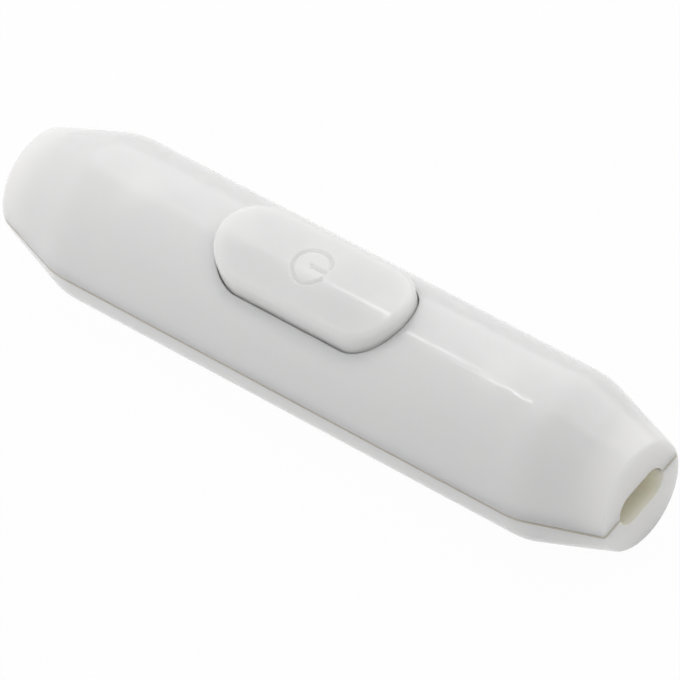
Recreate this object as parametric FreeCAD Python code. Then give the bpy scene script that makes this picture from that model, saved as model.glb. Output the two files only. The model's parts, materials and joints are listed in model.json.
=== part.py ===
import FreeCAD, Part
import math
import os

# Inline cord switch: a long white moulded body with tapered ends, a raised push button on top,
# and a latching single-pole switch inside. Millimetres, +Z up, +X along the body.
# The origin is under the middle of the body, on the flat that it rests on.
# Heights of the inner pieces are counted from the parting plane between the two shells.

# Moulded body
body_length = 90.0
body_width = 20.2
crown_height = 11.0
base_depth = 7.1
base_bulge = 0.25
base_fullness = 1.64
taper_length = 10.6
end_radius = 6.8
shoulder_radius = 11.0
wall = 1.6
end_wall = 4.5
edge_round = 0.3
opening_round = 0.25
rim_round = 0.12

# Seam between the shells
seam_gap = 0.24
lip_height = 1.1
lip_thickness = 0.8
lip_clearance = 0.08

# Cord slots, for flat two-core flex
slot_width = 7.9
slot_height = 4.3

# Push button
button_length = 26.4
button_width = 11.1
button_gap = 0.25
button_proud = 2.1
button_wall = 1.4
button_edge_round = 0.8
button_travel = 2.4
collar_wall = 1.4
flange_reach = 0.8
flange_thickness = 1.2
flange_drop = 5.4
stop_clearance = 0.05

# Stem, contact bridge and contacts
stem_length = 5.6
stem_wall = 0.8
stem_foot = 1.1
bridge_end_margin = 0.7
bridge_width = 2.8
bridge_thickness = 0.7
bridge_corner = 0.7
bridge_lift = 0.6
bridge_clearance = 0.1
contact_spacing = 8.0
contact_radius = 1.0
contact_thickness = 0.5
rivet_radius = 0.6
contact_gap = 0.05
contact_level = -1.95
strip_thickness = 0.8
strip_width = 3.0
strip_margin = 0.2
pocket_clearance = 0.2

# Springs
return_spring_from_end = 3.35
return_spring_radius = 1.65
return_spring_wire = 0.45
return_spring_turns = 5
return_spring_seat = -2.6
spring_pin_radius = 1.2
spring_pin_length = 2.0
spring_cup_wall = 0.7
spring_cup_depth = 1.0
spring_clearance = 0.15
contact_spring_radius = 1.0
contact_spring_wire = 0.3
contact_spring_turns = 4
contact_spring_length = 3.0

# Latch: a pin that follows a heart-shaped groove in the stem
pin_wire = 0.6
pin_arm = 6.0
pin_swing = 1.6
pin_bend = 0.6
pin_clearance = 0.08
pin_side_gap = 0.15
pivot_level = -4.55
groove_depth = 0.8
latch_hold = 1.7
tongue_thickness = 1.4
tongue_margin = 0.6
bracket_length = 3.2
bracket_thickness = 1.5
bracket_above_pivot = 1.15
leaf_thickness = 0.2
leaf_width = 2.6
leaf_height = 4.6
leaf_foot = 1.1

# Terminals
terminal_length = 6.0
terminal_width = 4.0
terminal_height = 5.0
terminal_floor = -4.4
terminal_from_end = 28.0
terminal_from_side = 5.3
wire_bore_radius = 1.1
wire_level = -2.2
neutral_strip_height = 2.6
pad_margin = 0.3

# Screws
terminal_screw_radius = 1.2
terminal_head_radius = 1.75
terminal_head_height = 1.3
head_chamfer = 0.4
screw_tip_chamfer = 0.35
clamp_screw_radius = 1.0
clamp_head_radius = 1.55
clamp_head_height = 1.1
clamp_screw_length = 6.0
housing_screw_radius = 1.15
housing_head_radius = 2.1
housing_head_height = 1.5
housing_screw_length = 11.0
housing_screw_from_end = 18.5
housing_recess_depth = 3.0
housing_head_clearance = 0.3
boss_wall = 1.5
thread_clearance = 0.05
through_clearance = 0.2
driver_slot_width = 0.6
driver_slot_depth = 0.6

# Cord clamps
clamp_from_end = 13.0
clamp_screw_from_side = 4.7
clamp_end_margin = 2.1
clamp_width = 4.0
clamp_thickness = 2.2
clamp_corner = 1.0
clamp_level = 1.5
clamp_post_radius = 1.7
grip_rib_width = 1.2
grip_rib_height = 0.4
flex_thickness = 3.8

# Worked out from the sizes above
half_length = body_length / 2
half_width = body_width / 2
half_middle = half_length - taper_length
round_weight = math.cos(math.pi / 4)
opening_length = button_length + 2 * button_gap
opening_width = button_width + 2 * button_gap
return_spring_x = button_length / 2 - return_spring_from_end
terminal_x = half_length - terminal_from_end
terminal_y = half_width - terminal_from_side
housing_screw_x = half_length - housing_screw_from_end
clamp_x = half_length - clamp_from_end
clamp_screw_y = half_width - clamp_screw_from_side
contact_x = contact_spacing / 2
contact_tab_start = contact_x - contact_radius
contact_tab_end = contact_x + contact_radius + strip_margin
collar_level = flange_drop
flange_top = collar_level - stop_clearance
flange_bottom = flange_top - flange_thickness
strip_top = contact_level - contact_thickness
strip_bottom = strip_top - strip_thickness
bridge_travel = button_travel - bridge_lift
bridge_contact_bottom = contact_level + bridge_travel + contact_gap
bridge_bottom = bridge_contact_bottom + contact_thickness
bridge_top = bridge_bottom + bridge_thickness
window_width = bridge_width + 2 * bridge_clearance
window_top = bridge_top + contact_spring_length
stem_half_width = window_width / 2 + stem_wall
tongue_face = window_width / 2 + tongue_thickness
pin_plane = tongue_face + pin_side_gap + pin_wire / 2
pin_tip_level = pivot_level + pin_arm
pin_end = tongue_face - groove_depth + pin_side_gap
pin_angle = math.degrees(math.asin(pin_swing / pin_arm))
pin_drop = pin_arm * (1 - math.cos(math.radians(pin_angle)))
groove_width = pin_wire + 2 * pin_clearance
leaf_face = pin_plane + pin_wire / 2 + pin_clearance
bracket_face = leaf_face + leaf_thickness
bracket_top = pivot_level + bracket_above_pivot
neutral_strip_bottom = bracket_top + leaf_thickness + strip_margin
spring_seat_above = flange_bottom + spring_pin_length
big = body_length
tolerance = 0.01


def vec(x, y, z):
    return FreeCAD.Vector(x, y, z)


def box(x0, x1, y0, y1, z0, z1):
    return Part.makeBox(x1 - x0, y1 - y0, z1 - z0, vec(x0, y0, z0))


def centred_box(length, width, z0, z1, x=0.0, y=0.0):
    return box(x - length / 2, x + length / 2, y - width / 2, y + width / 2, z0, z1)


def post(radius, z0, z1, x=0.0, y=0.0):
    return Part.makeCylinder(radius, z1 - z0, vec(x, y, z0))


def stadium(length, width, z0, z1):
    """Upright prism with round ends, centred on the origin."""
    radius = width / 2
    reach = length / 2 - radius
    corners = [vec(-reach, -radius, z0), vec(reach, -radius, z0),
               vec(reach, radius, z0), vec(-reach, radius, z0)]
    outline = [Part.makeLine(corners[0], corners[1]),
               Part.Arc(corners[1], vec(reach + radius, 0, z0), corners[2]).toShape(),
               Part.makeLine(corners[2], corners[3]),
               Part.Arc(corners[3], vec(-reach - radius, 0, z0), corners[0]).toShape()]
    return Part.Face(Part.Wire(outline)).extrude(vec(0, 0, z1 - z0))


def both_ends(shape):
    """The shape and its mirror image at the other end of the body."""
    return [shape, shape.mirror(vec(0, 0, 0), vec(1, 0, 0))]


def at_size(full, end, x):
    """Half size of the body at a distance x from its middle."""
    if x <= half_middle:
        return full
    return full + (end - full) * (x - half_middle) / taper_length


def skin(inset, reach, full, side, fullness, rim):
    """One half of the moulded surface: straight in the middle, bent at the shoulders, tapered to the ends.

    Each row of poles is one station along the body. A rim above zero rounds the edges of the end faces.
    """
    turn = math.atan((half_width - end_radius) / taper_length)
    bend = shoulder_radius * math.tan(turn / 2)
    taper = reach - rim - half_middle - bend
    stations = [(0.0, 0.0), (half_middle, 0.0), (half_middle + bend + taper / 2, 0.0), (reach, 0.0)]
    steps = [half_middle - bend, bend, taper / 2]
    if rim > 0:
        stations.append((reach, rim))
        steps.append(rim)
    stations = [(-place, cut) for place, cut in reversed(stations[1:])] + stations
    knots = [0.0]
    for step in list(reversed(steps[1:])) + [steps[0]] + steps[1:]:
        knots.append(knots[-1] + step)
    poles = []
    weights = []
    for place, cut in stations:
        wide = side * (at_size(half_width, end_radius, abs(place)) - inset - cut)
        high = side * (at_size(full, end_radius, abs(place)) - inset - cut)
        poles.append([vec(place, -wide, 0), vec(place, -wide, high), vec(place, 0, high),
                      vec(place, wide, high), vec(place, wide, 0)])
        weight = at_size(fullness, round_weight, abs(place))
        weights.append([1.0, weight, 1.0, weight, 1.0])
    surface = Part.BSplineSurface()
    surface.buildFromPolesMultsKnots(poles, [3] + [1] * (len(knots) - 2) + [3], [3, 2, 3], knots,
                                     [0.0, 1.0, 2.0], False, False, 2, 2, weights)
    return surface, knots


def half_form(inset, end_inset, side, rim=0.0):
    """Solid under one half of the skin, closed by the parting plane and the two end faces."""
    reach = half_length - end_inset
    full = crown_height if side > 0 else base_depth + base_bulge
    fullness = round_weight if side > 0 else base_fullness
    surface, knots = skin(inset, reach, full, side, fullness, rim)
    faces = []
    outline = []
    for start, stop in zip(knots, knots[1:]):
        for low, high in ((0.0, 1.0), (1.0, 2.0)):
            patch = surface.copy()
            patch.segment(start, stop, low, high)
            faces.append(patch.toShape())
        outline.append(surface_edge(surface.vIso(0.0), start, stop))
        outline.append(surface_edge(surface.vIso(2.0), start, stop))
    for station in (knots[0], knots[-1]):
        arches = [surface_edge(surface.uIso(station), low, low + 1.0) for low in (0.0, 1.0)]
        chord = Part.makeLine(surface.value(station, 0.0), surface.value(station, 2.0))
        outline.append(chord)
        faces.append(Part.Face(Part.Wire(arches + [chord])))
    faces.append(Part.Face(Part.Wire(Part.__sortEdges__(outline))))
    shell = Part.Shell(faces)
    shell.sewShape()
    solid = Part.Solid(shell)
    if solid.Volume < 0:
        solid.reverse()
    return solid


def surface_edge(curve, start, stop):
    """Stretch of a curve on the skin, as an edge."""
    stretch = curve.copy()
    stretch.segment(start, stop)
    return stretch.toShape()


def cord_slots():
    """Two flat slots with round ends, one through each end wall."""
    radius = slot_height / 2
    reach = slot_width / 2 - radius
    start = half_length - 2 * end_wall
    depth = 3 * end_wall
    slot = box(start, start + depth, -reach, reach, -radius, radius)
    for side in (-1, 1):
        slot = slot.fuse(Part.makeCylinder(radius, depth, vec(start, side * reach, 0), vec(1, 0, 0)))
    return both_ends(slot.removeSplitter())


def lip_form(inset, side_from, side_to):
    """Slice of the body near the parting plane, used for the lip and for its seat."""
    form = half_form(inset, end_wall - lip_thickness + (inset - wall + lip_thickness), 1)
    return form.common(centred_box(big, big, side_from, side_to))


def housing_boss_places():
    return [(side * housing_screw_x, 0.0) for side in (-1, 1)]


def opening_edges(shape):
    """Edges where the button opening comes out through the top of the shell."""
    reach = opening_length / 2 + opening_round
    edges = []
    for edge in shape.Edges:
        bounds = edge.BoundBox
        over_collar = bounds.ZMin > collar_level and max(bounds.XMax, -bounds.XMin) < reach
        if over_collar and bounds.XLength + bounds.YLength > bounds.ZLength:
            edges.append(edge)
    return edges


def rim_edges(shape, level):
    """Outer edges of a shell along its two sides, at the height where it meets the other shell."""
    edges = []
    for edge in shape.Edges:
        middle = edge.valueAt((edge.FirstParameter + edge.LastParameter) / 2)
        side = at_size(half_width, end_radius, abs(middle.x)) - edge_round - rim_round
        flat = edge.BoundBox.ZLength < tolerance and abs(middle.z - level) < tolerance
        if flat and abs(middle.y) > side:
            edges.append(edge)
    return edges


def upper_shell():
    """Deep moulded top half with the button opening, its collar, the screw bosses and half slots."""
    outer = half_form(0, 0, 1, edge_round)
    cavity = half_form(wall, end_wall, 1)
    solid = outer.cut(cavity)
    inner = cavity.common(centred_box(big, big, collar_level, crown_height))
    collar = stadium(opening_length + 2 * collar_wall, opening_width + 2 * collar_wall,
                     collar_level, crown_height).common(inner)
    bosses = []
    for x, y in housing_boss_places():
        boss = post(housing_screw_radius + boss_wall, 0, crown_height, x, y)
        bosses.append(boss.common(cavity))
    solid = solid.fuse([collar] + bosses)
    solid = solid.cut(stadium(opening_length, opening_width, -base_depth, big))
    seat = lip_form(wall - lip_thickness - lip_clearance, 0, lip_height)
    solid = solid.cut(seat.cut(bosses[0]).cut(bosses[1]))
    under_rim = centred_box(big, big, -seam_gap, seam_gap).cut(Part.makeCompound(bosses))
    pilot_depth = housing_screw_length - (base_depth - housing_recess_depth) + thread_clearance
    pilots = [post(housing_screw_radius + thread_clearance, 0, pilot_depth, x, y)
              for x, y in housing_boss_places()]
    solid = solid.cut([under_rim] + pilots + cord_slots()).removeSplitter()
    solid = solid.makeFillet(opening_round, opening_edges(solid))
    return solid.makeFillet(rim_round, rim_edges(solid, seam_gap))


def clamp_places():
    """Screw places of the two cord clamps."""
    places = []
    for end in (-1, 1):
        for side in (-1, 1):
            places.append((end * clamp_x, side * clamp_screw_y))
    return places


def terminal_places():
    """Centres of the four wire clamps: live ones at -Y, neutral ones at +Y."""
    places = []
    for side in (-1, 1):
        for end in (-1, 1):
            places.append((end * terminal_x, side * terminal_y))
    return places


def spring_places():
    return [-return_spring_x, return_spring_x]


def base_posts():
    """Everything that stands on the floor of the lower shell, as one list."""
    floor = -base_depth
    pieces = []
    for x, y in housing_boss_places():
        recess_roof = floor + housing_recess_depth
        pieces.append(post(housing_head_radius + boss_wall, floor, recess_roof + boss_wall, x, y))
        pieces.append(post(housing_screw_radius + boss_wall, floor, 0, x, y))
    for x, y in clamp_places():
        pieces.append(post(clamp_post_radius, floor, clamp_level, x, y))
    for end in (-1, 1):
        rib_top = -flex_thickness / 2
        pieces.append(centred_box(grip_rib_width, 2 * clamp_screw_y, floor, rib_top, end * clamp_x))
    for x, y in terminal_places():
        pieces.append(centred_box(terminal_length + 2 * pad_margin, terminal_width,
                                  floor, terminal_floor, x, y))
    cup_radius = return_spring_radius + return_spring_wire / 2 + spring_clearance + spring_cup_wall
    for x in spring_places():
        pieces.append(post(cup_radius, floor, return_spring_seat + spring_cup_depth, x))
    pad_size = 2 * contact_radius
    for end in (-1, 1):
        pieces.append(centred_box(pad_size, pad_size, floor, strip_bottom, end * contact_x))
    bracket_y = bracket_face + bracket_thickness / 2
    pieces.append(centred_box(bracket_length, bracket_thickness, floor, bracket_top, 0, bracket_y))
    return pieces


def strip_pockets():
    """Room in the posts for the arms and tabs of the two live terminals."""
    arm_from = -terminal_y - strip_width / 2 - pocket_clearance
    arm_to = -terminal_y + strip_width / 2 + pocket_clearance
    tab_to = contact_radius + strip_margin + pocket_clearance
    arm = box(contact_tab_start, terminal_x, arm_from, arm_to, strip_bottom, 0)
    tab = box(contact_tab_start, contact_tab_end + pocket_clearance, arm_from, tab_to, strip_bottom, 0)
    return both_ends(arm.fuse(tab))


def lower_shell():
    """Shallow moulded bottom half with a flat underside, the lip, and seats for all that is inside."""
    block = centred_box(big + body_width, big, -base_depth, 0)
    outer = half_form(0, 0, -1, edge_round).common(block)
    cavity = half_form(wall, end_wall, -1).common(centred_box(big, big, wall - base_depth, 0))
    lip = lip_form(wall - lip_thickness, 0, lip_height).cut(lip_form(wall, 0, lip_height))
    above = half_form(wall, end_wall, 1)
    room = outer.fuse(above)
    solid = outer.cut(cavity)
    posts = [piece.common(room).cut(strip_pockets()) for piece in base_posts()]
    solid = solid.fuse([lip] + posts)
    cuts = cord_slots()
    for x, y in housing_boss_places():
        recess_radius = housing_head_radius + housing_head_clearance
        cuts.append(post(recess_radius, -big, housing_recess_depth - base_depth, x, y))
        cuts.append(post(housing_screw_radius + through_clearance, -big, big, x, y))
    for x, y in clamp_places():
        depth = clamp_screw_length - clamp_thickness + thread_clearance
        cuts.append(post(clamp_screw_radius + thread_clearance, clamp_level - depth, clamp_level, x, y))
    spring_bore = return_spring_radius + return_spring_wire / 2 + spring_clearance
    for x in spring_places():
        cuts.append(post(spring_bore, return_spring_seat, return_spring_seat + 2 * spring_cup_depth, x))
    cuts.append(Part.makeCylinder(pin_wire / 2 + thread_clearance, bracket_thickness,
                                  vec(0, bracket_face, pivot_level), vec(0, 1, 0)))
    solid = solid.cut(cuts).removeSplitter()
    return solid.makeFillet(rim_round, rim_edges(solid, 0))


def crown(offset, length, width):
    """Part of a stadium prism that lies under a crown parallel to the top of the body."""
    high = crown_height + offset
    wide = half_width + offset
    prism = stadium(length, width, 0, high)
    ends = sorted([vec(0, -wide, 0), vec(0, 0, -high)], key=lambda end: end.Length)
    face = Part.Face(Part.Wire(Part.Ellipse(ends[1], ends[0], vec(0, 0, 0)).toShape()))
    face.translate(vec(-length, 0, 0))
    return prism.common(face.extrude(vec(2 * length, 0, 0)))


def heart_groove():
    """Closed track in the stem for the tip of the latch pin, shaped like a heart."""
    radius = groove_width / 2
    side_top = pin_tip_level + button_travel - pin_drop
    corners = [(0.0, pin_tip_level), (pin_swing, side_top),
               (0.0, pin_tip_level + latch_hold), (-pin_swing, side_top)]
    floor = tongue_face - groove_depth
    depth = 2 * groove_depth
    pieces = []
    for index, start in enumerate(corners):
        end = corners[(index + 1) % len(corners)]
        run = vec(end[0] - start[0], 0, end[1] - start[1])
        angle = math.degrees(math.atan2(run.z, run.x))
        track = Part.makeBox(run.Length, depth, groove_width, vec(0, 0, -radius))
        track.rotate(vec(0, 0, 0), vec(0, 1, 0), -angle)
        track.translate(vec(start[0], floor, start[1]))
        pieces.append(track)
        pieces.append(Part.makeCylinder(radius, depth, vec(start[0], floor, start[1]), vec(0, 1, 0)))
    return pieces[0].fuse(pieces[1:])


def push_button():
    """Moulded button: crowned cap, stop flange, spring pins, and a stem with a window and the groove."""
    whole = crown(button_proud, button_length, button_width)
    body = whole
    top_edges = [edge for edge in body.Edges if edge.BoundBox.ZMin > crown_height / 2]
    body = body.makeFillet(button_edge_round, top_edges)
    body = body.common(centred_box(big, big, flange_bottom, big))
    hollow = crown(button_proud - button_wall, button_length - 2 * button_wall,
                   button_width - 2 * button_wall)
    cap = body.cut(hollow)
    flange = stadium(button_length + 2 * flange_reach, button_width + 2 * flange_reach,
                     flange_bottom, flange_top)
    flange = flange.cut(hollow)
    inner_top = crown_height + button_proud - button_wall / 2
    stem = centred_box(stem_length, 2 * stem_half_width, bridge_bottom - stem_foot, inner_top)
    tongue = box(-stem_length / 2, stem_length / 2, 0, tongue_face,
                 pin_tip_level - groove_width / 2 - tongue_margin, inner_top)
    webs = [centred_box(2 * return_spring_x, stem_wall, flange_bottom, inner_top)]
    pins = []
    for x in spring_places():
        pins.append(post(return_spring_radius + return_spring_wire / 2, spring_seat_above, inner_top, x))
        pins.append(post(spring_pin_radius, spring_seat_above - spring_pin_length, inner_top, x))
    pins = [piece.common(body.fuse(hollow)) for piece in pins]
    spring_space = [post(return_spring_radius + return_spring_wire, flange_bottom - big,
                         spring_seat_above, x).cut(post(spring_pin_radius, flange_bottom - big, big, x))
                    for x in spring_places()]
    webs = [web.cut(spring_space) for web in webs]
    stem_room = whole.fuse(centred_box(stem_length, big, -base_depth, flange_top))
    solid = cap.fuse([flange, stem.common(stem_room), tongue] + webs + pins)
    window = centred_box(2 * stem_length, window_width, bridge_bottom, window_top)
    return solid.cut([window, heart_groove()]).removeSplitter()


def coil(radius, wire_diameter, length, turns, x, z):
    """Compression spring of round wire standing on z: half turns that each lean a little, end to end."""
    rise = (length - wire_diameter) / (2 * turns)
    middle_radius = math.hypot(radius, rise / 2)
    lean = math.degrees(math.atan2(rise / 2, radius))
    halves = []
    for number in range(2 * turns):
        side = 1 if number % 2 == 0 else -1
        section = Part.Face(Part.Wire(Part.Circle(vec(middle_radius, 0, 0), vec(0, 1, 0),
                                                  wire_diameter / 2).toShape()))
        half = section.revolve(vec(0, 0, 0), vec(0, 0, 1), 180 * side)
        half.rotate(vec(0, 0, 0), vec(0, 1, 0), lean * side)
        half.translate(vec(x, 0, z + wire_diameter / 2 + rise * (number + 0.5)))
        halves.append(half)
    return halves[0].fuse(halves[1:]).removeSplitter()


def upright_edges(shape):
    """Edges of a flat bar that run along Z."""
    return [edge for edge in shape.Edges if edge.BoundBox.XLength + edge.BoundBox.YLength < edge.Length / 2]


def contact_bridge():
    """Flat brass bar that joins the two fixed contacts."""
    bridge_length = contact_spacing + 2 * (contact_radius + bridge_end_margin)
    bar = centred_box(bridge_length, bridge_width, bridge_bottom, bridge_top)
    bar = bar.makeFillet(bridge_corner, upright_edges(bar))
    holes = [post(rivet_radius, bridge_bottom, bridge_top, end * contact_x) for end in (-1, 1)]
    return bar.cut(holes)


def rivet(head_bottom, head_top, shank_bottom, shank_top, x):
    head = post(contact_radius, head_bottom, head_top, x)
    return head.fuse(post(rivet_radius, shank_bottom, shank_top, x)).removeSplitter()


def terminal_block(x, y):
    """Brass block with a wire bore along the body and a screw hole from above."""
    top = terminal_floor + terminal_height
    block = centred_box(terminal_length, terminal_width, terminal_floor, top, x, y)
    bore = Part.makeCylinder(wire_bore_radius, 2 * terminal_length,
                             vec(x - terminal_length, y, wire_level), vec(1, 0, 0))
    hole = post(terminal_screw_radius + thread_clearance, wire_level, top, x, y)
    return block.cut([bore, hole])


def live_terminal():
    """Block at the +X end with a flat arm that carries a fixed contact."""
    x = terminal_x
    y = -terminal_y
    arm = box(contact_tab_start, x, y - strip_width / 2, y + strip_width / 2, strip_bottom, strip_top)
    arm = arm.cut(centred_box(terminal_length, terminal_width, strip_bottom, strip_top, x, y))
    tab = box(contact_tab_start, contact_tab_end, y - strip_width / 2, contact_radius + strip_margin,
              strip_bottom, strip_top)
    hole = post(rivet_radius, strip_bottom, strip_top, contact_x)
    return terminal_block(x, y).fuse([arm, tab]).cut(hole).removeSplitter()


def neutral_terminal():
    """Two blocks joined by an upright strip along the side of the lower shell."""
    y = terminal_y
    outer = y + terminal_width / 2
    blocks = [terminal_block(end * terminal_x, y) for end in (-1, 1)]
    reach = terminal_x - terminal_length / 2
    strip = box(-reach, reach, outer - strip_thickness, outer,
                neutral_strip_bottom, neutral_strip_bottom + neutral_strip_height)
    return strip.fuse(blocks).removeSplitter()


def screw(radius, length, head_radius, head_height, x, y, z, down):
    """Pan-headed screw with a driver slot; z is the seat of its head."""
    head = post(head_radius, 0, head_height)
    rim = [edge for edge in head.Edges if edge.BoundBox.ZMin > head_height / 2]
    head = head.makeChamfer(head_chamfer, rim)
    shank = post(radius, -length, 0)
    tip = [edge for edge in shank.Edges if edge.BoundBox.ZMax < -length / 2 and len(edge.Vertexes) == 1]
    shank = shank.makeChamfer(screw_tip_chamfer, tip)
    notch = centred_box(3 * head_radius, driver_slot_width, head_height - driver_slot_depth, 2 * head_height)
    solid = head.fuse(shank).cut(notch).removeSplitter()
    if not down:
        solid.rotate(vec(0, 0, 0), vec(1, 0, 0), 180)
    solid.translate(vec(x, y, z))
    return solid


def cord_clamp():
    """Moulded bar at the +X end that presses the flex down, with a grip rib and two screw holes."""
    x = clamp_x
    bar = centred_box(2 * (clamp_screw_y + clamp_end_margin), clamp_width, 0, clamp_thickness)
    bar = bar.makeFillet(clamp_corner, upright_edges(bar))
    bar.rotate(vec(0, 0, 0), vec(0, 0, 1), 90)
    bar.translate(vec(x, 0, clamp_level))
    inner = 2 * (clamp_screw_y - clamp_post_radius - pad_margin)
    rib = centred_box(grip_rib_width, inner, clamp_level - grip_rib_height, clamp_level, x)
    hole_radius = clamp_screw_radius + through_clearance / 2
    holes = [post(hole_radius, clamp_level, clamp_level + clamp_thickness, x, y)
             for end, y in clamp_places() if end > 0]
    return bar.fuse(rib).cut(holes).removeSplitter()


def latch_pin():
    """Bent wire: a pivot leg in the bracket, an upright arm, and a tip in the heart groove."""
    low = vec(0, pin_plane, pivot_level)
    high = vec(0, pin_plane, pin_tip_level)
    start = vec(0, bracket_face + bracket_thickness, pivot_level)
    end = vec(0, pin_end, pin_tip_level)
    diagonal = pin_bend * (1 - round_weight)
    across = vec(0, pin_bend, 0)
    along = vec(0, 0, pin_bend)
    corner = vec(0, diagonal, diagonal)
    runs = [Part.makeLine(start, low + across),
            Part.Arc(low + across, low + corner, low + along).toShape(),
            Part.makeLine(low + along, high - along),
            Part.Arc(high - along, high - corner, high - across).toShape(),
            Part.makeLine(high - across, end)]
    ring = Part.Circle(start, vec(0, 1, 0), pin_wire / 2)
    return Part.Wire(runs).makePipeShell([Part.Wire(ring.toShape())], True, False)


def latch_leaf():
    """Thin steel leaf that keeps the pin in its groove, hooked over the bracket."""
    upright = centred_box(leaf_width, leaf_thickness, bracket_top, bracket_top + leaf_height, 0,
                          leaf_face + leaf_thickness / 2)
    foot = box(-leaf_width / 2, leaf_width / 2, leaf_face, bracket_face + leaf_foot,
               bracket_top, bracket_top + leaf_thickness)
    return upright.fuse(foot).removeSplitter()


def all_parts():
    """Every piece by name, still counted from the parting plane."""
    parts = {
        "upper_shell": upper_shell(),
        "lower_shell": lower_shell(),
        "push_button": push_button(),
        "contact_bridge": contact_bridge(),
        "neutral_terminal": neutral_terminal(),
        "latch_pin": latch_pin(),
        "latch_leaf": latch_leaf(),
    }
    spring_length = spring_seat_above - return_spring_seat
    parts["contact_spring"] = coil(contact_spring_radius, contact_spring_wire, contact_spring_length,
                                   contact_spring_turns, 0, bridge_top)
    for name, x in zip(("left", "right"), spring_places()):
        parts["return_spring_" + name] = coil(return_spring_radius, return_spring_wire, spring_length,
                                              return_spring_turns, x, return_spring_seat)
    for name, side in (("left", -1), ("right", 1)):
        x = side * contact_x
        parts["fixed_contact_" + name] = rivet(strip_top, contact_level,
                                               strip_bottom, strip_top, x)
        parts["bridge_contact_" + name] = rivet(bridge_contact_bottom, bridge_bottom,
                                                bridge_bottom, bridge_top, x)
        x = side * housing_screw_x
        head_seat = housing_recess_depth - base_depth
        parts["housing_screw_" + name] = screw(housing_screw_radius, housing_screw_length,
                                               housing_head_radius, housing_head_height,
                                               x, 0, head_seat, False)
    for name, shape in zip(("right", "left"), both_ends(live_terminal())):
        parts["live_terminal_" + name] = shape
    for name, shape in zip(("right", "left"), both_ends(cord_clamp())):
        parts["cord_clamp_" + name] = shape
    for number, (x, y) in enumerate(terminal_places(), 1):
        top = terminal_floor + terminal_height
        parts["terminal_screw_%d" % number] = screw(terminal_screw_radius, top - wire_level,
                                                    terminal_head_radius, terminal_head_height,
                                                    x, y, top, True)
    for number, (x, y) in enumerate(clamp_places(), 1):
        parts["clamp_screw_%d" % number] = screw(clamp_screw_radius, clamp_screw_length,
                                                 clamp_head_radius, clamp_head_height,
                                                 x, y, clamp_level + clamp_thickness, True)
    return parts


os.makedirs("parts", exist_ok=True)
for node, shape in all_parts().items():
    shape.translate(vec(0, 0, base_depth))
    shape.exportStep("parts/" + node + ".step")
    print(node, shape.isValid(), len(shape.Solids), round(shape.Volume, 2))
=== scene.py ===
import bmesh
import bpy
import json
import math
from mathutils import Matrix, Vector


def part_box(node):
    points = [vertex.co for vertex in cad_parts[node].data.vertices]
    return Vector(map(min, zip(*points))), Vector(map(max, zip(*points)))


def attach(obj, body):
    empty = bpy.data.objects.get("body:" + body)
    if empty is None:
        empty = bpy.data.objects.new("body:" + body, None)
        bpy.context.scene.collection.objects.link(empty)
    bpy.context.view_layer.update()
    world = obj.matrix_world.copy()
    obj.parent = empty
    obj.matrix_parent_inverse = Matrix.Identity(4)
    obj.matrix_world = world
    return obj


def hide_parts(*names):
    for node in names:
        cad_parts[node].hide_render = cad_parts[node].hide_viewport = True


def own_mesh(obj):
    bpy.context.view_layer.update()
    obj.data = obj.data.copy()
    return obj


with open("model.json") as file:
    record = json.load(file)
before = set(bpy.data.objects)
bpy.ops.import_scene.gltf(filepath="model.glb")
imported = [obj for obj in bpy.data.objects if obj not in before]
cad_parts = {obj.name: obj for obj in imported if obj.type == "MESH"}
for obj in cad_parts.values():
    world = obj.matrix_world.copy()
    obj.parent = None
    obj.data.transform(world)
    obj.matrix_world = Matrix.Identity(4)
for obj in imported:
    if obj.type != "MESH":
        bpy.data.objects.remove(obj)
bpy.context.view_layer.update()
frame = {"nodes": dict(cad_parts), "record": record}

MM = 0.001

# Camera, at the photograph's angle: degrees from +X towards -Y, above the floor, and about its own axis
CAMERA_AZIMUTH = 37.60
CAMERA_ELEVATION = 50.62
CAMERA_ROLL = 17.28
CAMERA_DISTANCE = 851.8 * MM
CAMERA_AIM = Vector((1.23, -0.28, 7.1)) * MM
CAMERA_LENS = 394.0
SENSOR_WIDTH = 36.0
CLIP_RANGE = 10

# Body and button, as the CAD model has them
PARTING = 7.1 * MM
FLANGE_REACH = 0.8 * MM
EDGE_ROUND = 0.8 * MM
SLOT_WIDTH = 7.9 * MM
SLOT_HEIGHT = 4.3 * MM
SEAM_GAP = 0.24 * MM
BUTTON_WALL = 1.4 * MM

# White plastic: how far and how much light seeps through it, its colours with painted seam shade and painted
# warm light in the slots, and its faint patterns
ABS_IOR = 1.53
ABS_SEEP = 4.0 * MM
ABS_SEEP_COLOUR = (1.0, 0.98, 0.92)
SHELL_SEEP_SHARE = 0.9
BUTTON_SEEP_SHARE = 0.8
ABS_WHITE = "#e9e9e8"
ABS_WARM_WHITE = "#ecebe8"
# Painted shade, in a narrow band along the seam between the shells
SEAM_SHADE = "#c9c3b7"
# Painted warm light inside the cord slots
SLOT_PAINTED_WARM_LIGHT = "#faf3e2"
SEAM_HALF_BAND = 0.24 * MM
MASK_FADE = 0.03 * MM
ABS_CLOUDS = 9 * MM
ABS_GRAIN = 0.5 * MM
ABS_WAVES = 3 * MM
ABS_GLOSS = (0.11, 0.15)
WAVE_DEPTH = 0.01 * MM
WAVE_STRENGTH = 0.15

# Nylon and metals
NYLON_IOR = 1.53
NYLON_LIGHT = "#e0d5b6"
NYLON_DARK = "#d8cba6"
NYLON_ROUGHNESS = 0.45
NYLON_CLOUDS = 1.5 * MM
NYLON_DEPTH = 0.02 * MM
NYLON_STRENGTH = 0.3
METAL_STRETCH = 0.08
METAL_GLOSS_SPREAD = 0.08
METAL_DEPTH = 0.01 * MM
METAL_STRENGTH = 0.25

# A colour Mix node has its two colours at these inputs and its result at this output
MIX_FIRST = 6
MIX_SECOND = 7
MIX_RESULT = 2

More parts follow.
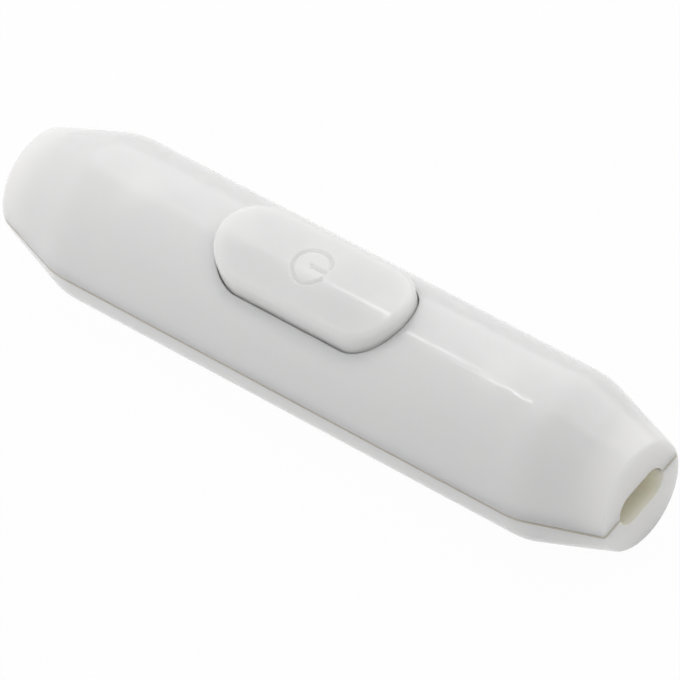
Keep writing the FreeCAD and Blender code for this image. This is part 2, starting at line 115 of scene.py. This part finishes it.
# The button's new skin: a little wider than the CAD button, so that its gap looks narrow, like the real one
SKIN_GROWTH = 0.14 * MM
SKIN_MERGE = 0.001 * MM
NODE_MERGE = 0.0005 * MM
CUT_REACH = 0.0001 * MM
ARC_SEGMENTS = 128
SIDE_CUTS = 143
ROUND_RINGS = 8
TOP_RINGS = 48
SKIN_START = 14.6 * MM
SKIN_STEP = 0.3 * MM

# On/off sign, sunk in the button: a broken ring and a bar from its middle
SIGN_PLACE = Vector((0.15, -0.2)) * MM
SIGN_RADIUS = 2.3 * MM
SIGN_BREAK = math.radians(24)
SIGN_BAR = 1.95 * MM
SIGN_HALF_WIDTH = 0.4 * MM
SIGN_DEPTH = 0.26 * MM
SIGN_FIELD = 3.1 * MM

# Faces that meet at more than this angle keep a crisp edge
CRISP_ANGLE = math.radians(32)

# Studio, in a plane that leans over the far side; places in it are along its near edge and in from it.
# Two softboxes meet over the button's left end, and narrow strips that grow brighter give the streaks on the
# crests of button and body. The fill lamps only soften the shade of the tapers, and nothing reflects them.
LAMP_PLANE_PLACE = Vector((-0.284, 0.083, 0.5))
LAMP_PLANE_TURN = math.radians(-40.8)
LAMP_PLANE_TILT = math.radians(-40)
SOFTBOX_MEET = -0.042
SOFTBOX_LEFT_REACH = -0.75
SOFTBOX_RIGHT_REACH = 0.3
SOFTBOX_LEFT_EDGE = -0.05
SOFTBOX_RIGHT_EDGE = 0.042
SOFTBOX_FAR = 0.75
SOFTBOX_POWER_PER_AREA = 2.35
STREAK_PARTS = 12
STREAK_WIDTH = 0.016
STREAK_GROWTH = 2.5
BODY_STREAK = (Vector((0.022, 0.044)), Vector((0.0795, 0.0539)))
BODY_STREAK_POWER = 0.009
BUTTON_STREAK = (Vector((-0.006, 0.036)), Vector((0.006, 0.084)))
BUTTON_STREAK_POWER = 0.0058
LEFT_FILL_PLACE = Vector((-0.17, -0.11, 0.13))
LEFT_FILL_POWER = 0.125
RIGHT_FILL_PLACE = Vector((0.28, -0.21, 0.20))
RIGHT_FILL_POWER = 0.14
FILL_SIZE = 0.12
ROOM_LIGHT = 0.51
FLOOR_SIZE = 1.5
FLOOR_COLOUR = "#dcdcdc"
FLOOR_ROUGHNESS = 0.9
FLOOR_DROP = 0.01 * MM
BACKGROUND_SHARE = 0.97


def linear(colour):
    """Linear red, green, blue and alpha of an sRGB hex colour."""
    values = [int(colour[index:index + 2], 16) / 255 for index in (1, 3, 5)]
    values = [value / 12.92 if value <= 0.04045 else ((value + 0.055) / 1.055) ** 2.4 for value in values]
    return values + [1.0]


def add_node(tree, kind, settings=(), links=()):
    """Adds a node; settings are its properties or input values, links are its inputs and what feeds them."""
    node = tree.nodes.new(kind)
    for name, value in dict(settings).items():
        if isinstance(name, int) or name in node.inputs:
            node.inputs[name].default_value = value
        else:
            setattr(node, name, value)
    for name, socket in dict(links).items():
        tree.links.new(socket, node.inputs[name])
    return node


def new_material(name, **sockets):
    """A material with its shader's sockets set, and Object coordinates ready for its patterns."""
    material = bpy.data.materials.new(name)
    material.use_nodes = True
    tree = material.node_tree
    shader = tree.nodes["Principled BSDF"]
    for socket, value in sockets.items():
        shader.inputs[socket.replace("_", " ")].default_value = value
    place = add_node(tree, "ShaderNodeTexCoord")
    return material, tree, shader, place.outputs["Object"]


def in_slot(tree, place):
    """One inside the cord slots, where warm light seeping through the walls is painted into the colour; zero
    elsewhere.
    """
    radius = SLOT_HEIGHT / 2
    axes = add_node(tree, "ShaderNodeSeparateXYZ", links={"Vector": place})
    aside = add_node(tree, "ShaderNodeMath", {"operation": "ABSOLUTE"}, {0: axes.outputs["Y"]})
    beyond = add_node(tree, "ShaderNodeMath", {"operation": "SUBTRACT", 1: SLOT_WIDTH / 2 - radius},
                      {0: aside.outputs[0]})
    wide = add_node(tree, "ShaderNodeMath", {"operation": "MAXIMUM", 1: 0.0}, {0: beyond.outputs[0]})
    high = add_node(tree, "ShaderNodeMath", {"operation": "SUBTRACT", 1: PARTING}, {0: axes.outputs["Z"]})
    offset = add_node(tree, "ShaderNodeCombineXYZ", links={"X": wide.outputs[0], "Y": high.outputs[0]})
    distance = add_node(tree, "ShaderNodeVectorMath", {"operation": "LENGTH"}, {"Vector": offset.outputs[0]})
    inside = add_node(tree, "ShaderNodeMapRange", {"From Min": radius + MASK_FADE,
                                                   "From Max": radius + 2 * MASK_FADE,
                                                   "To Min": 1.0, "To Max": 0.0},
                      {"Value": distance.outputs["Value"]})
    return inside.outputs["Result"]


def in_seam(tree, place):
    """One in the narrow band along the seam between the shells, where shade is painted into the colour; zero
    elsewhere.
    """
    axes = add_node(tree, "ShaderNodeSeparateXYZ", links={"Vector": place})
    above = add_node(tree, "ShaderNodeMath", {"operation": "SUBTRACT", 1: PARTING + SEAM_GAP / 2},
                     {0: axes.outputs["Z"]})
    away = add_node(tree, "ShaderNodeMath", {"operation": "ABSOLUTE"}, {0: above.outputs[0]})
    band = add_node(tree, "ShaderNodeMapRange", {"From Min": SEAM_HALF_BAND - MASK_FADE,
                                                 "From Max": SEAM_HALF_BAND,
                                                 "To Min": 1.0, "To Max": 0.0}, {"Value": away.outputs[0]})
    return band.outputs["Result"]


def moulded_abs(name, seep_share):
    """Glossy injection-moulded ABS: near white, a faint waviness from the mould, and tiny gloss changes;
    painted shade along the seam and painted warm light in the cord slots.
    """
    material, tree, shader, place = new_material(name, IOR=ABS_IOR, Subsurface_Weight=seep_share,
                                                 Subsurface_Scale=ABS_SEEP, Subsurface_Radius=ABS_SEEP_COLOUR)
    clouds = add_node(tree, "ShaderNodeTexNoise", {"Scale": 1 / ABS_CLOUDS, "Detail": 3.0}, {"Vector": place})
    colour = add_node(tree, "ShaderNodeMix", {"data_type": "RGBA", MIX_FIRST: linear(ABS_WHITE),
                                              MIX_SECOND: linear(ABS_WARM_WHITE)},
                      {"Factor": clouds.outputs["Fac"]})
    # Painted shade along the seam between the shells
    shaded = add_node(tree, "ShaderNodeMix", {"data_type": "RGBA", MIX_SECOND: linear(SEAM_SHADE)},
                      {"Factor": in_seam(tree, place), MIX_FIRST: colour.outputs[MIX_RESULT]})
    # Painted warm light inside the cord slots, on top of the light that really seeps through the plastic
    tinted = add_node(tree, "ShaderNodeMix", {"data_type": "RGBA", MIX_SECOND: linear(SLOT_PAINTED_WARM_LIGHT)},
                      {"Factor": in_slot(tree, place), MIX_FIRST: shaded.outputs[MIX_RESULT]})
    tree.links.new(tinted.outputs[MIX_RESULT], shader.inputs["Base Color"])
    grain = add_node(tree, "ShaderNodeTexNoise", {"Scale": 1 / ABS_GRAIN, "Detail": 2.0}, {"Vector": place})
    gloss = add_node(tree, "ShaderNodeMapRange", {"To Min": ABS_GLOSS[0], "To Max": ABS_GLOSS[1]},
                     {"Value": grain.outputs["Fac"]})
    tree.links.new(gloss.outputs["Result"], shader.inputs["Roughness"])
    waves = add_node(tree, "ShaderNodeTexNoise", {"Scale": 1 / ABS_WAVES, "Detail": 1.0}, {"Vector": place})
    bump = add_node(tree, "ShaderNodeBump", {"Strength": WAVE_STRENGTH, "Distance": WAVE_DEPTH},
                    {"Height": waves.outputs["Fac"]})
    tree.links.new(bump.outputs["Normal"], shader.inputs["Normal"])
    return material


def natural_nylon():
    """Unpainted moulded nylon: milky yellow, half matt, with a soft mottled grain."""
    material, tree, shader, place = new_material("natural_nylon", IOR=NYLON_IOR, Roughness=NYLON_ROUGHNESS)
    clouds = add_node(tree, "ShaderNodeTexNoise", {"Scale": 1 / NYLON_CLOUDS, "Detail": 4.0},
                      {"Vector": place})
    colour = add_node(tree, "ShaderNodeMix", {"data_type": "RGBA", MIX_FIRST: linear(NYLON_DARK),
                                              MIX_SECOND: linear(NYLON_LIGHT)},
                      {"Factor": clouds.outputs["Fac"]})
    tree.links.new(colour.outputs[MIX_RESULT], shader.inputs["Base Color"])
    bump = add_node(tree, "ShaderNodeBump", {"Strength": NYLON_STRENGTH, "Distance": NYLON_DEPTH},
                    {"Height": clouds.outputs["Fac"]})
    tree.links.new(bump.outputs["Normal"], shader.inputs["Normal"])
    return material


def drawn_metal(name, light, dark, roughness, streak):
    """Bare metal with fine streaks along the piece, as rolling and drawing leave them."""
    material, tree, shader, place = new_material(name, Metallic=1.0, Roughness=roughness)
    mapping = add_node(tree, "ShaderNodeMapping", {"Scale": (METAL_STRETCH, 1.0, 1.0)}, {"Vector": place})
    streaks = add_node(tree, "ShaderNodeTexNoise", {"Scale": 1 / streak, "Detail": 5.0},
                       {"Vector": mapping.outputs["Vector"]})
    colour = add_node(tree, "ShaderNodeMix", {"data_type": "RGBA", MIX_FIRST: linear(dark),
                                              MIX_SECOND: linear(light)}, {"Factor": streaks.outputs["Fac"]})
    tree.links.new(colour.outputs[MIX_RESULT], shader.inputs["Base Color"])
    gloss = add_node(tree, "ShaderNodeMapRange", {"To Min": roughness - METAL_GLOSS_SPREAD,
                                                  "To Max": roughness + METAL_GLOSS_SPREAD},
                     {"Value": streaks.outputs["Fac"]})
    tree.links.new(gloss.outputs["Result"], shader.inputs["Roughness"])
    bump = add_node(tree, "ShaderNodeBump", {"Strength": METAL_STRENGTH, "Distance": METAL_DEPTH},
                    {"Height": streaks.outputs["Fac"]})
    tree.links.new(bump.outputs["Normal"], shader.inputs["Normal"])
    return material


def dress_nodes():
    """Gives every carried-over piece the material of its real stuff, by the record's material slots."""
    brass = drawn_metal("rolled_brass", light="#e2c27a", dark="#c79f4f", roughness=0.3, streak=0.25 * MM)
    silver = drawn_metal("silver_contact_metal", light="#eceae4", dark="#d5d2ca", roughness=0.28,
                         streak=0.2 * MM)
    zinc = drawn_metal("zinc_plated_steel", light="#c9cdd2", dark="#a9adb3", roughness=0.32,
                       streak=0.2 * MM)
    spring = drawn_metal("bright_spring_steel", light="#b3b6bb", dark="#8d9096", roughness=0.25,
                         streak=0.1 * MM)
    finishes = {"shell": moulded_abs("moulded_abs_shell", SHELL_SEEP_SHARE),
                "button": moulded_abs("moulded_abs_button", BUTTON_SEEP_SHARE),
                "clamp_nylon": natural_nylon(), "terminal_brass": brass,
                "contact_silver": silver, "plated_steel": zinc, "spring_steel": spring}
    for part in frame["record"]["subparts"]:
        data = frame["nodes"][part["node"]].data
        data.materials.clear()
        data.materials.append(finishes[part["material_slot"]])
    return finishes


def finish_piece(name, shape, material):
    """Turns a bmesh into an object at the origin, shaded smooth with crisp edges where faces meet sharply."""
    for face in shape.faces:
        face.smooth = True
    for edge in shape.edges:
        edge.smooth = len(edge.link_faces) != 2 or edge.calc_face_angle() < CRISP_ANGLE
    mesh = bpy.data.meshes.new(name)
    shape.to_mesh(mesh)
    shape.free()
    mesh.materials.append(material)
    piece = bpy.data.objects.new(name, mesh)
    bpy.context.scene.collection.objects.link(piece)
    return piece


class ButtonForm:
    """Outline and crown of the push button, from the corners of its CAD piece."""

    def __init__(self):
        low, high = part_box("push_button")
        self.radius = (high.y - low.y) / 2 - FLANGE_REACH + SKIN_GROWTH
        self.reach = (high.x - low.x) / 2 - (high.y - low.y) / 2
        proud = high.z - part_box("upper_shell")[1].z
        self.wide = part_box("upper_shell")[1].y + proud
        self.high = high.z - PARTING

    def middle(self, point):
        """Nearest point of the line between the centres of the two round ends."""
        return Vector((max(-self.reach, min(self.reach, point.x)), 0.0, 0.0))

    def inset(self, point):
        """How far a point lies inside the outline, seen from above."""
        return self.radius - (Vector((point.x, point.y, 0.0)) - self.middle(point)).length

    def crown(self, point):
        return PARTING + self.high * math.sqrt(1 - (point.y / self.wide) ** 2)

    def edge_drop(self, inset):
        """How far the rounded edge lies below the crown."""
        left = min(EDGE_ROUND, max(0.0, EDGE_ROUND - inset))
        return EDGE_ROUND - math.sqrt(EDGE_ROUND ** 2 - left ** 2)


def sign_depth(point):
    """Depth of the sunk sign at a point of the crown: a soft groove along a broken ring and a bar."""
    flat = Vector((point.x, point.y)) - SIGN_PLACE
    away = SIGN_FIELD
    if abs(math.atan2(flat.y, flat.x)) > SIGN_BREAK:
        away = abs(flat.length - SIGN_RADIUS)
    for side in (-1, 1):
        tip = Vector((math.cos(SIGN_BREAK), side * math.sin(SIGN_BREAK))) * SIGN_RADIUS
        away = min(away, (flat - tip).length)
    bar = Vector((max(0.0, min(SIGN_BAR, flat.x)), 0.0))
    away = min(away, (flat - bar).length)
    if away >= SIGN_HALF_WIDTH:
        return 0.0
    return SIGN_DEPTH * (0.5 + 0.5 * math.cos(math.pi * away / SIGN_HALF_WIDTH))


def button_skin(form):
    """Outer skin of the button: a ring of its outline, drawn inwards ring by ring over edge and crown."""
    shape = bmesh.new()
    ring = bmesh.ops.create_circle(shape, segments=ARC_SEGMENTS, radius=form.radius, cap_ends=False,
                                   matrix=Matrix.Rotation(math.pi / ARC_SEGMENTS, 4, "Z"))["verts"]
    for vert in ring:
        vert.co.x += math.copysign(form.reach, vert.co.x)
        vert.co.z = SKIN_START + SKIN_STEP
    sides = [edge for edge in shape.edges if edge.calc_length() > form.reach]
    bmesh.ops.subdivide_edges(shape, edges=sides, cuts=SIDE_CUTS)
    insets = [EDGE_ROUND * (1 - math.cos(math.pi / 2 * number / ROUND_RINGS))
              for number in range(ROUND_RINGS)]
    width = form.radius - EDGE_ROUND
    insets += [EDGE_ROUND + width * number / TOP_RINGS for number in range(TOP_RINGS + 1)]
    edges = shape.edges[:]
    for inset in insets:
        moved = bmesh.ops.extrude_edge_only(shape, edges=edges)["geom"]
        edges = [item for item in moved if isinstance(item, bmesh.types.BMEdge)]
        for vert in (item for item in moved if isinstance(item, bmesh.types.BMVert)):
            middle = form.middle(vert.co)
            away = Vector((vert.co.x, vert.co.y, 0.0)) - middle
            vert.co = middle + away.normalized() * (form.radius - inset)
    last = {vert for edge in edges for vert in edge.verts}
    bmesh.ops.remove_doubles(shape, verts=list(last), dist=SKIN_MERGE)
    field = [edge for edge in shape.edges
             if all(max(abs(vert.co.x), abs(vert.co.y)) < SIGN_FIELD for vert in edge.verts)]
    bmesh.ops.subdivide_edges(shape, edges=field, cuts=1, use_grid_fill=True)
    for vert in shape.verts:
        if not vert.is_boundary:
            vert.co.z = form.crown(vert.co) - form.edge_drop(form.inset(vert.co)) - sign_depth(vert.co)
    mesh = bpy.data.meshes.new("button_skin")
    shape.to_mesh(mesh)
    shape.free()
    return mesh


def make_button(form, plastic):
    """Push button with its inner form kept, and a new outer skin above the shell's collar."""
    shape = bmesh.new()
    shape.from_mesh(frame["nodes"]["push_button"].data)
    bmesh.ops.remove_doubles(shape, verts=shape.verts, dist=NODE_MERGE)
    bmesh.ops.bisect_plane(shape, geom=shape.verts[:] + shape.edges[:] + shape.faces[:], dist=CUT_REACH,
                           plane_co=(0, 0, SKIN_START), plane_no=(0, 0, 1))
    old_skin = []
    for face in shape.faces:
        middle = face.calc_center_median()
        high = middle.z > SKIN_START
        if high and (form.inset(middle) < BUTTON_WALL / 2 or middle.z > form.crown(middle) - BUTTON_WALL / 2):
            old_skin.append(face)
    bmesh.ops.delete(shape, geom=old_skin, context="FACES")
    skin = button_skin(form)
    shape.from_mesh(skin)
    bpy.data.meshes.remove(skin)
    rims = [edge for edge in shape.edges if edge.is_boundary]
    bmesh.ops.bridge_loops(shape, edges=rims)
    bmesh.ops.recalc_face_normals(shape, faces=shape.faces)
    piece = finish_piece("push_button_moulding", shape, plastic)
    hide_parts("push_button")
    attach(piece, "button")
    return piece


def make_spring(node, name, body, steel):
    """Coil spring copied from its CAD piece."""
    shape = bmesh.new()
    shape.from_mesh(frame["nodes"][node].data)
    bmesh.ops.remove_doubles(shape, verts=shape.verts, dist=NODE_MERGE)
    piece = finish_piece(name, shape, steel)
    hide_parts(node)
    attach(piece, body)
    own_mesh(piece)
    return piece


def place_camera():
    """Long lens far away, so that the body hardly tapers in the picture."""
    camera = bpy.data.objects.new("camera", bpy.data.cameras.new("camera"))
    bpy.context.scene.collection.objects.link(camera)
    camera.data.sensor_width = SENSOR_WIDTH
    camera.data.lens = CAMERA_LENS
    azimuth = math.radians(CAMERA_AZIMUTH)
    elevation = math.radians(CAMERA_ELEVATION)
    back = Vector((math.cos(elevation) * math.cos(azimuth), -math.cos(elevation) * math.sin(azimuth),
                   math.sin(elevation)))
    level = (-back).to_track_quat("-Z", "Y").to_matrix().to_4x4()
    roll = Matrix.Rotation(-math.radians(CAMERA_ROLL), 4, "Z")
    camera.matrix_world = Matrix.Translation(CAMERA_AIM + back * CAMERA_DISTANCE) @ level @ roll
    camera.data.clip_start = CAMERA_DISTANCE / CLIP_RANGE
    camera.data.clip_end = CAMERA_DISTANCE * CLIP_RANGE
    bpy.context.scene.camera = camera


def seen_directly(tree):
    """One where the camera, a reflection or glass looks at the surface; zero for its light on things."""
    path = add_node(tree, "ShaderNodeLightPath")
    direct = add_node(tree, "ShaderNodeMath", {"operation": "MAXIMUM"},
                      {0: path.outputs["Is Camera Ray"], 1: path.outputs["Is Glossy Ray"]})
    either = add_node(tree, "ShaderNodeMath", {"operation": "MAXIMUM"},
                      {0: direct.outputs[0], 1: path.outputs["Is Transmission Ray"]})
    return either.outputs[0]


def make_floor():
    """White studio sweep that shows a little of the shadow under the switch."""
    shape = bmesh.new()
    bmesh.ops.create_grid(shape, x_segments=1, y_segments=1, size=FLOOR_SIZE,
                          matrix=Matrix.Translation((0, 0, -FLOOR_DROP)))
    mesh = bpy.data.meshes.new("floor")
    shape.to_mesh(mesh)
    shape.free()
    floor = bpy.data.objects.new("floor", mesh)
    bpy.context.scene.collection.objects.link(floor)
    material, tree, shader, _ = new_material("studio_paper", Roughness=FLOOR_ROUGHNESS,
                                             Base_Color=linear(FLOOR_COLOUR))
    share = add_node(tree, "ShaderNodeMath", {"operation": "MULTIPLY", 1: BACKGROUND_SHARE},
                     {0: seen_directly(tree)})
    glow = add_node(tree, "ShaderNodeEmission", {"Color": (1, 1, 1, 1), "Strength": 1.0})
    mixed = add_node(tree, "ShaderNodeMixShader",
                     links={"Fac": share.outputs[0], 1: shader.outputs[0], 2: glow.outputs[0]})
    tree.links.new(mixed.outputs[0], tree.nodes["Material Output"].inputs["Surface"])
    mesh.materials.append(material)


def light_room():
    """White room, with softboxes and streaks of light over the far side, and a fill lamp beyond each end."""
    world = bpy.data.worlds.new("studio")
    world.use_nodes = True
    tree = world.node_tree
    strength = add_node(tree, "ShaderNodeMapRange", {"To Min": ROOM_LIGHT, "To Max": 1.0},
                        {"Value": seen_directly(tree)})
    tree.links.new(strength.outputs["Result"], tree.nodes["Background"].inputs["Strength"])
    tree.nodes["Background"].inputs["Color"].default_value = (1, 1, 1, 1)
    bpy.context.scene.world = world

    plane = (Matrix.Translation(LAMP_PLANE_PLACE) @ Matrix.Rotation(LAMP_PLANE_TURN, 4, "Z")
             @ Matrix.Rotation(LAMP_PLANE_TILT, 4, "X"))
    for name, left, right, near in (("softbox_left", SOFTBOX_LEFT_REACH, SOFTBOX_MEET, SOFTBOX_LEFT_EDGE),
                                    ("softbox_right", SOFTBOX_MEET, SOFTBOX_RIGHT_REACH, SOFTBOX_RIGHT_EDGE)):
        length, depth = right - left, SOFTBOX_FAR - near
        middle = Matrix.Translation(((left + right) / 2, near + depth / 2, 0))
        add_lamp(name, length, depth, SOFTBOX_POWER_PER_AREA * length * depth, plane @ middle)
    add_streak("body_streak", plane, *BODY_STREAK, BODY_STREAK_POWER)
    add_streak("button_streak", plane, *BUTTON_STREAK, BUTTON_STREAK_POWER)
    for name, point, power in (("left_fill_light", LEFT_FILL_PLACE, LEFT_FILL_POWER),
                               ("right_fill_light", RIGHT_FILL_PLACE, RIGHT_FILL_POWER)):
        turned = Matrix.Translation(point) @ point.to_track_quat("Z", "Y").to_matrix().to_4x4()
        fill = add_lamp(name, FILL_SIZE, FILL_SIZE, power, turned)
        fill.visible_glossy = False


def add_streak(name, plane, start, end, power):
    """Row of strip lights that grow brighter from start to end."""
    run = end - start
    turn = Matrix.Rotation(math.atan2(run.y, run.x), 4, "Z")
    for number in range(STREAK_PARTS):
        middle = start + run * (number + 0.5) / STREAK_PARTS
        growth = ((number + 1) / STREAK_PARTS) ** STREAK_GROWTH
        add_lamp("%s_%d" % (name, number + 1), run.length / STREAK_PARTS, STREAK_WIDTH, power * growth,
                 plane @ Matrix.Translation((middle.x, middle.y, 0)) @ turn)


def add_lamp(name, length, depth, power, place):
    """Rectangular lamp, not seen itself; place is its matrix in the room."""
    light = bpy.data.lights.new(name, "AREA")
    light.shape = "RECTANGLE"
    light.size = length
    light.size_y = depth
    light.energy = power
    lamp = bpy.data.objects.new(name, light)
    bpy.context.scene.collection.objects.link(lamp)
    lamp.visible_camera = False
    lamp.matrix_world = place
    return lamp


place_camera()
finishes = dress_nodes()
make_button(ButtonForm(), finishes["button"])
steel = finishes["spring_steel"]
for side in ("left", "right"):
    make_spring("return_spring_" + side, "return_coil_" + side, "housing", steel)
make_spring("contact_spring", "contact_coil", "button", steel)
make_floor()
light_room()
bpy.context.scene.view_settings.view_transform = "Standard"
